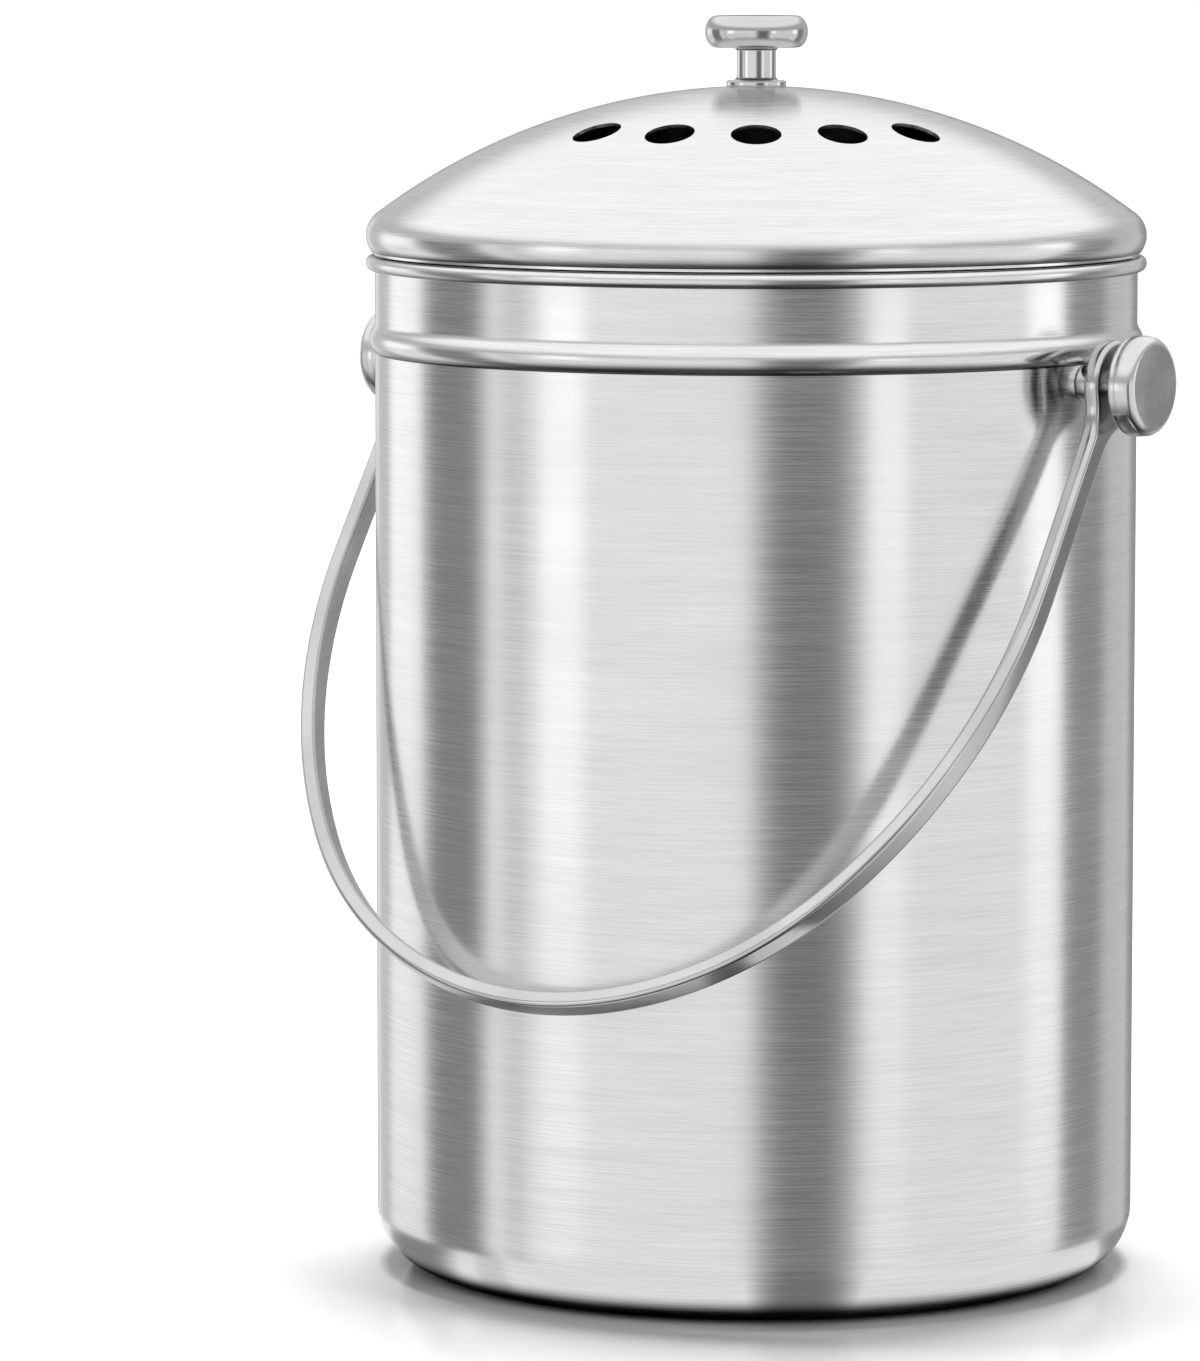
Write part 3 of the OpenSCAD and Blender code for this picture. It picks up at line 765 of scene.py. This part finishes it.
studio = dict(floorR=3.0, gloss=0.6, glossFade=(0.09, 0.24), cardR=0.105, cardShade=(0.078, 0.085),
              tent=0.95, stripsEnd=(-0.17, -0.08), bandSoft=0.6, behind=1.12, fill=0.35, viewTurn=33.0,
              sunPower=3.8, sunSpread=26.0, sunHeight=80.0)
# what stands above and below the bands: from which to which height of the view its level takes over
tiers = [dict(low=0.05, high=0.17, level=0.58),  # a grey ring
         dict(low=0.28, high=0.52, level=1.2),  # the bright top of the tent
         dict(low=-0.42, high=-1.0, level=0.02)]  # the dark ground
# each band stands at an azimuth from the camera's side, in degrees to the right, and is this wide to its
# half level; soft is the share of that width over which its edges fade
bands = [dict(turn=-33, half=28, level=1.08, soft=0.35), dict(turn=172, half=16, level=0.30),
         dict(turn=142, half=10, level=0.60), dict(turn=119, half=11, level=0.32),
         dict(turn=97, half=6.5, level=1.5), dict(turn=40, half=5, level=1.35),
         dict(turn=15.5, half=10.9, level=0.22, soft=0.85), dict(turn=-60, half=6.5, level=1.6),
         dict(turn=-77, half=3.5, level=0.76), dict(turn=-88, half=3.5, level=1.1),
         dict(turn=-103.5, half=12.5, level=0.27), dict(turn=-133, half=9, level=1.25),
         dict(turn=-154, half=7, level=0.60)]


def makeBandGroup():
    tree, given, out = newGroup("tentBands", [("Vector", "NodeSocketVector", None)],
                                [("Level", "NodeSocketFloat")])
    across = vectorNode(tree, "MULTIPLY", given.outputs["Vector"], (1, 1, 0))
    flat = vectorNode(tree, "NORMALIZE", across.outputs[0])
    value = studio["tent"]
    for band in bands:
        turn = math.radians(studio["viewTurn"] + band["turn"])
        facing = vectorNode(tree, "DOT_PRODUCT", flat.outputs[0], (math.sin(turn), -math.cos(turn), 0))
        soft = band.get("soft", studio["bandSoft"])
        outer, inner = (math.cos(math.radians(band["half"] * (1 + side * soft))) for side in (1, -1))
        inBand = rangeNode(tree, facing.outputs["Value"], outer, inner)
        value = blendValues(tree, inBand, value, band["level"])
    tree.links.new(value, out.inputs["Level"])
    return tree


def makeFloorWhite():
    # matt white with a gloss coat round the object that fades out before the floor's far part
    material, tree, shader, coords = newMaterial("floorWhite", Specular_IOR_Level=0.0, Roughness=0.6,
                                                 Coat_Roughness=0.1)
    worn = useGroup(tree, handling, coords, Size=0.2)
    tree.links.new(mixTint(tree, worn["Wave"], grey(0.90, 0), grey(0.93, 0)), shader.inputs["Base Color"])
    far = vectorNode(tree, "LENGTH", coords)
    gloss = rangeNode(tree, far.outputs["Value"], *studio["glossFade"], studio["gloss"], 0.0)
    tree.links.new(gloss, shader.inputs["Coat Weight"])
    return material


def makeCardGlow():
    # carries the bands on to the ground: each point shows what stands in its direction from the wall's
    # focal line
    material, tree, shader, coords = newMaterial("cardGlow", Base_Color=(0, 0, 0, 1),
                                                 Specular_IOR_Level=0.0, Emission_Strength=1.0)
    turn = math.radians(studio["viewTurn"])
    reach = shell["wallR"] / 2 * mm
    focal = vectorNode(tree, "SUBTRACT", coords, (reach * math.sin(turn), -reach * math.cos(turn), 0))
    level = useGroup(tree, tentBands, focal.outputs[0])["Level"]
    far = vectorNode(tree, "LENGTH", coords)
    # painted shadow: the glow goes dark below the object, where its foot shades the ground
    under = rangeNode(tree, far.outputs["Value"], *studio["cardShade"])  # dark below the object
    glow = mathNode(tree, "MULTIPLY", mathNode(tree, "MINIMUM", level, studio["tent"]), under)
    tree.links.new(glow, shader.inputs["Emission Color"])
    return material


def makeDisc(name, radius, z, material):
    bm = bmesh.new()
    bmesh.ops.create_circle(bm, cap_ends=True, segments=128, radius=radius)
    bmesh.ops.translate(bm, vec=(0, 0, z), verts=bm.verts[:])
    mesh = bpy.data.meshes.new(name)
    bm.to_mesh(mesh)
    bm.free()
    disc = bpy.data.objects.new(name, mesh)
    scene.collection.objects.link(disc)
    mesh.materials.append(material)
    return disc


def makeWorld():
    world = bpy.data.worlds.new("studioWorld")
    scene.world = world
    world.use_nodes = True
    tree = world.node_tree
    background = tree.nodes["Background"]
    background.inputs["Color"].default_value = (1, 1, 1, 1)
    coords = tree.nodes.new("ShaderNodeTexCoord")
    height = splitVector(tree, coords.outputs["Generated"])[2]
    value = useGroup(tree, tentBands, coords.outputs["Generated"])["Level"]
    # the bright strips end above the ground
    capped = mathNode(tree, "MINIMUM", value, studio["tent"])
    value = blendValues(tree, rangeNode(tree, height, *studio["stripsEnd"]), capped, value)
    for tier in tiers:
        value = blendValues(tree, rangeNode(tree, height, tier["low"], tier["high"]), value, tier["level"])
    # reflections see the tent, the camera a plain white and all other light an even fill
    path = tree.nodes.new("ShaderNodeLightPath")
    value = blendValues(tree, path.outputs["Is Glossy Ray"], studio["fill"], value)
    value = blendValues(tree, path.outputs["Is Camera Ray"], value, studio["behind"])
    tree.links.new(value, background.inputs["Strength"])


def makeLamp():
    # the soft shadow round the foot
    data = bpy.data.lights.new("softSun", "SUN")
    data.energy = studio["sunPower"]
    data.angle = math.radians(studio["sunSpread"])
    lamp = bpy.data.objects.new("softSun", data)
    scene.collection.objects.link(lamp)
    lamp.rotation_euler = (math.radians(studio["sunHeight"] - 90), 0, math.radians(studio["viewTurn"]))
    lamp.visible_glossy = False


tentBands = makeBandGroup()
makeDisc("paleFloor", studio["floorR"], 0, makeFloorWhite()).visible_glossy = False
# a glowing card that only reflections see, just under the floor, with a painted shadow in its middle
card = makeDisc("bandCard", studio["cardR"], -0.0002, makeCardGlow())
card.visible_camera = False
card.visible_diffuse = False
card.visible_shadow = False
makeWorld()
makeLamp()


# Camera, at the photograph's viewing angle

view = dict(turn=33.0, distance=1610.04, height=304.24, down=6.125, swing=1.2376, focal=190.74)


def makeCamera():
    data = bpy.data.cameras.new("viewCamera")
    data.sensor_width = 36
    data.lens = view["focal"]
    data.clip_end = 50
    camera = bpy.data.objects.new("viewCamera", data)
    scene.collection.objects.link(camera)
    turn = math.radians(view["turn"])
    away = view["distance"] * mm
    camera.location = (away * math.sin(turn), -away * math.cos(turn), view["height"] * mm)
    camera.rotation_euler = (math.radians(90 - view["down"]), 0, turn + math.radians(view["swing"]))
    return camera


bpy.context.scene.camera = makeCamera()
scene.view_settings.view_transform = "Standard"
print("studio and camera set")
